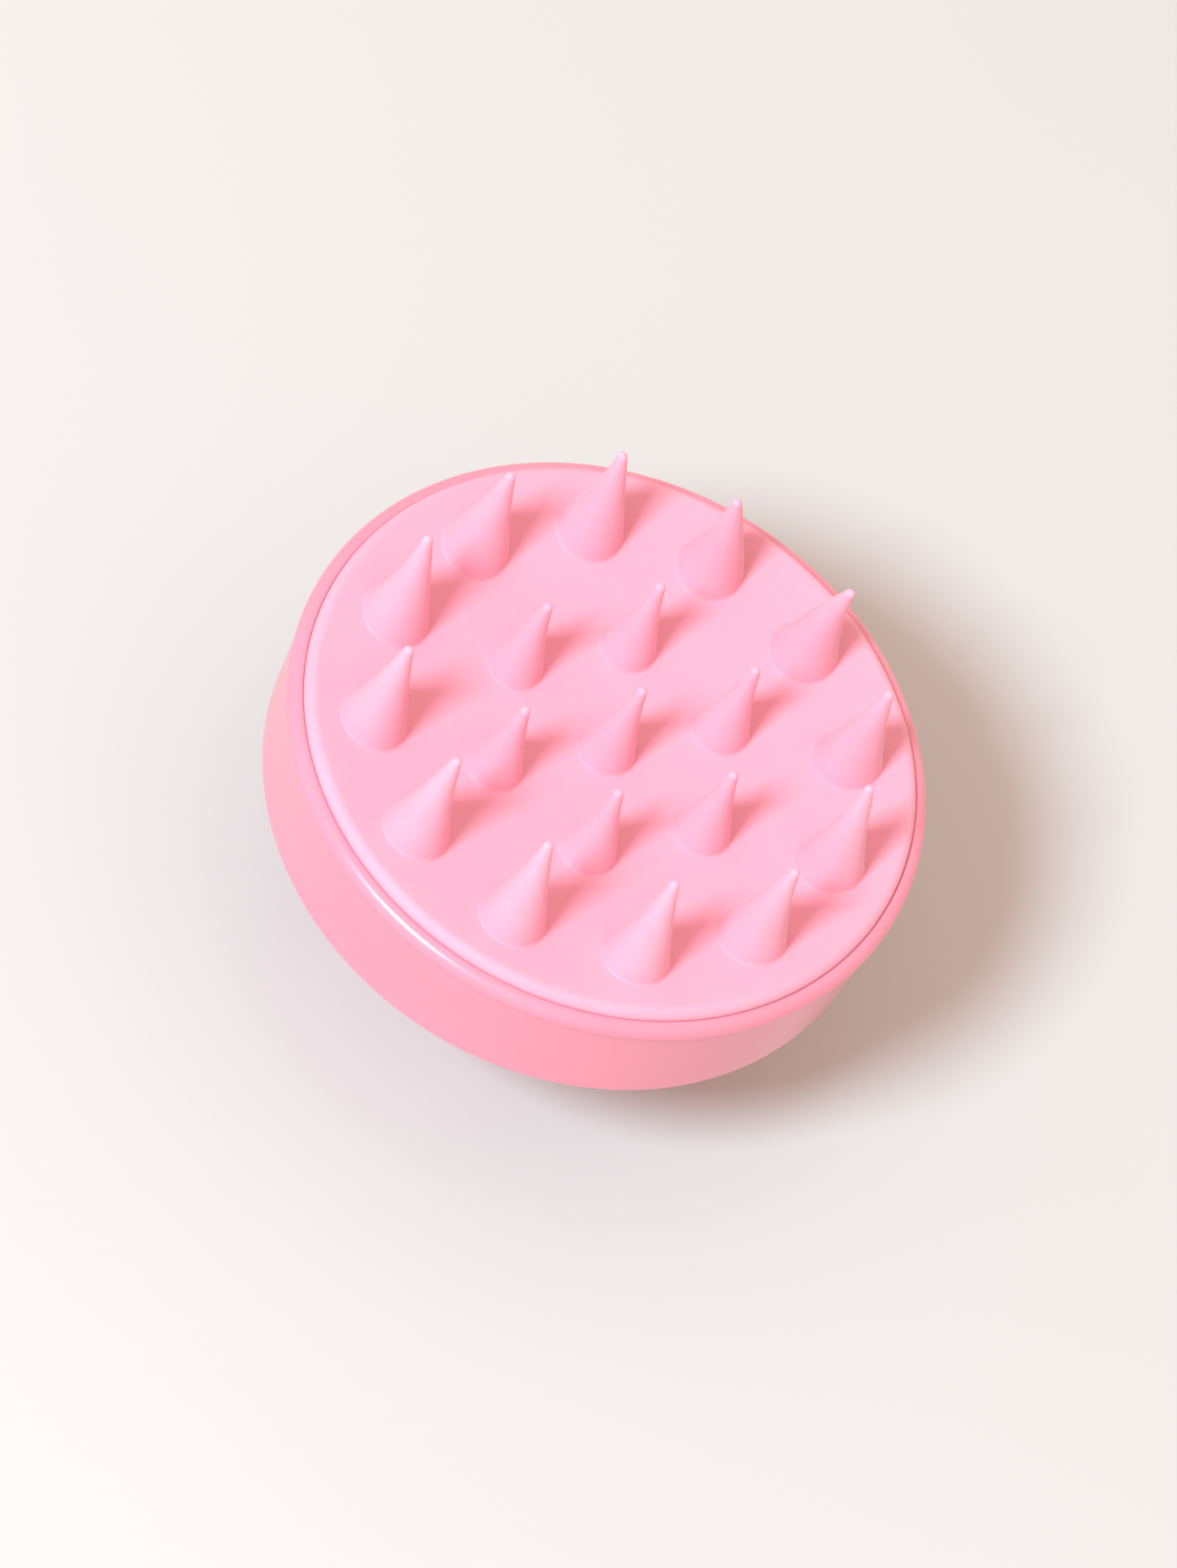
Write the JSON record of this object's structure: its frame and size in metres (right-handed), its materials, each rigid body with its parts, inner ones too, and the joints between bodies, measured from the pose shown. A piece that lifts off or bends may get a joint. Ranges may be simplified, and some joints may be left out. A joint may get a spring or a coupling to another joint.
{
  "type": "scalp massager brush",
  "caption": "Round hand-held scalp massager with a soft pad of cone bristles in a shallow rigid body and a strap handle across its back.",
  "frame": {"origin": "centre of the bounding box's base: the middle of the flat on the handle's crown, under the middle of the round body", "axes": "+Z out of the bristles, Y along the handle's strap, X across the strap"},
  "size_m": [0.085, 0.085, 0.0634],
  "materials": {
    "silicone": "matt, slightly translucent pink silicone",
    "shell_plastic": "satin moulded pink plastic with a glossier rim",
    "inner_plastic": "plain off-white moulded plastic",
    "screw_steel": "plain stainless steel"
  },
  "bodies": {
    "root": {"pad_sheet": "silicone", "bristles": "silicone", "outer_shell": "shell_plastic", "back_cover": "shell_plastic", "pad_carrier": "inner_plastic", "handle_shell": "shell_plastic", "handle_liner": "shell_plastic", "carrier_screws": "screw_steel", "handle_screws": "screw_steel"}
  },
  "joints": []
}
